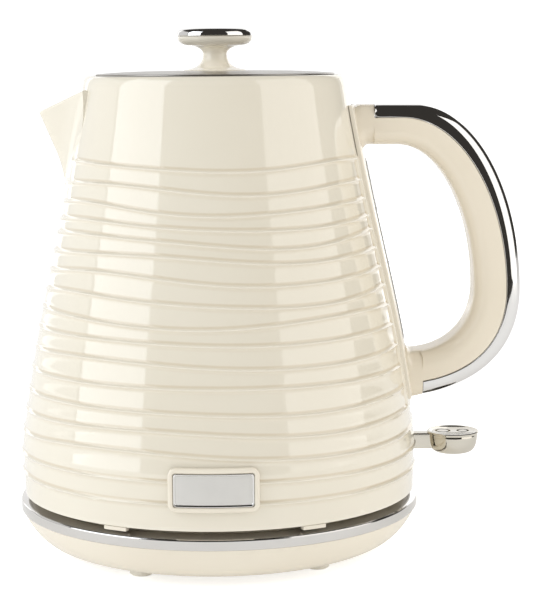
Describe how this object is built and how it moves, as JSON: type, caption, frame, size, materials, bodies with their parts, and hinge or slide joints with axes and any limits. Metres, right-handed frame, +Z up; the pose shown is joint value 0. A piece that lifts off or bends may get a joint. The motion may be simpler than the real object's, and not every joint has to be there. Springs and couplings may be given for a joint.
{
  "type": "cordless electric kettle",
  "caption": "Ribbed conical jug kettle with V spout, D handle, lift-off lid with turned knob and a press-down switch lever, on a round power base with a chrome ring.",
  "frame": {"origin": "on the jug's axis, on the surface that the feet stand on", "axes": "+Z up along the jug's axis, +X towards the handle, -X towards the spout, -Y towards the badge"},
  "size_m": [0.213, 0.1714, 0.221],
  "materials": {
    "cream_enamel": "gloss enamel",
    "cream_plastic": "gloss",
    "chrome_trim": "polished",
    "brushed_steel": "brushed",
    "aluminium": "satin",
    "dark_plastic": "matt",
    "dark_rubber": "matt",
    "foot_rubber": "matt",
    "brass": "satin",
    "clear_window": "clear"
  },
  "bodies": {
    "base": {"base_bowl": "cream_plastic", "base_ring": "chrome_trim", "base_deck": "cream_plastic", "base_bottom": "cream_plastic", "base_feet": "foot_rubber", "base_screws": "brushed_steel", "outlet_bush": "dark_rubber", "connector_post": "dark_plastic", "connector_pin": "brass", "terminal_blades": "brass"},
    "collar": {"connector_collar": "dark_plastic"},
    "jug": {"jug_shell": "cream_enamel", "jug_rim": "cream_plastic", "spout": "cream_enamel", "filter_frame": "cream_plastic", "filter_mesh": "brushed_steel", "heater_plate": "brushed_steel", "plate_seal": "dark_rubber", "heat_spreader": "aluminium", "heating_element": "brushed_steel", "control_block": "dark_plastic", "bimetal_disc": "brass", "jug_coupler": "dark_plastic", "bottom_cover": "cream_plastic", "cover_screws": "brushed_steel", "steam_tube": "brushed_steel", "lever_bracket": "dark_plastic", "lever_pin": "brushed_steel", "gauge_frame": "cream_plastic", "gauge_window": "clear_window", "gauge_gasket": "dark_rubber", "badge_frame": "cream_plastic", "badge_plate": "brushed_steel", "handle_grip": "cream_plastic", "handle_core": "dark_plastic", "handle_trim": "chrome_trim", "handle_screws": "brushed_steel"},
    "switch": {"switch_lever": "chrome_trim"},
    "lid": {"lid_plate": "brushed_steel", "lid_plug": "cream_plastic", "lid_seal": "dark_rubber", "knob": "cream_plastic", "knob_cap": "chrome_trim", "knob_screw": "brushed_steel"}
  },
  "joints": [
    {"name": "jug_swivel", "type": "hinge", "parent": "base", "child": "collar", "pos_m": [0, 0, 0.0246], "axis": [0, 0, 1], "continuous": true},
    {"name": "jug_lift", "type": "slide", "parent": "collar", "child": "jug", "axis": [0, 0, 1], "range_m": [0, 0.06]},
    {"name": "lid_lift", "type": "slide", "parent": "jug", "child": "lid", "axis": [0, 0, 1], "range_m": [0, 0.05]},
    {"name": "switch_press", "type": "hinge", "parent": "jug", "child": "switch", "pos_m": [0.071, 0, 0.0448], "axis": [0, 1, 0], "range_deg": [0, 12]}
  ]
}
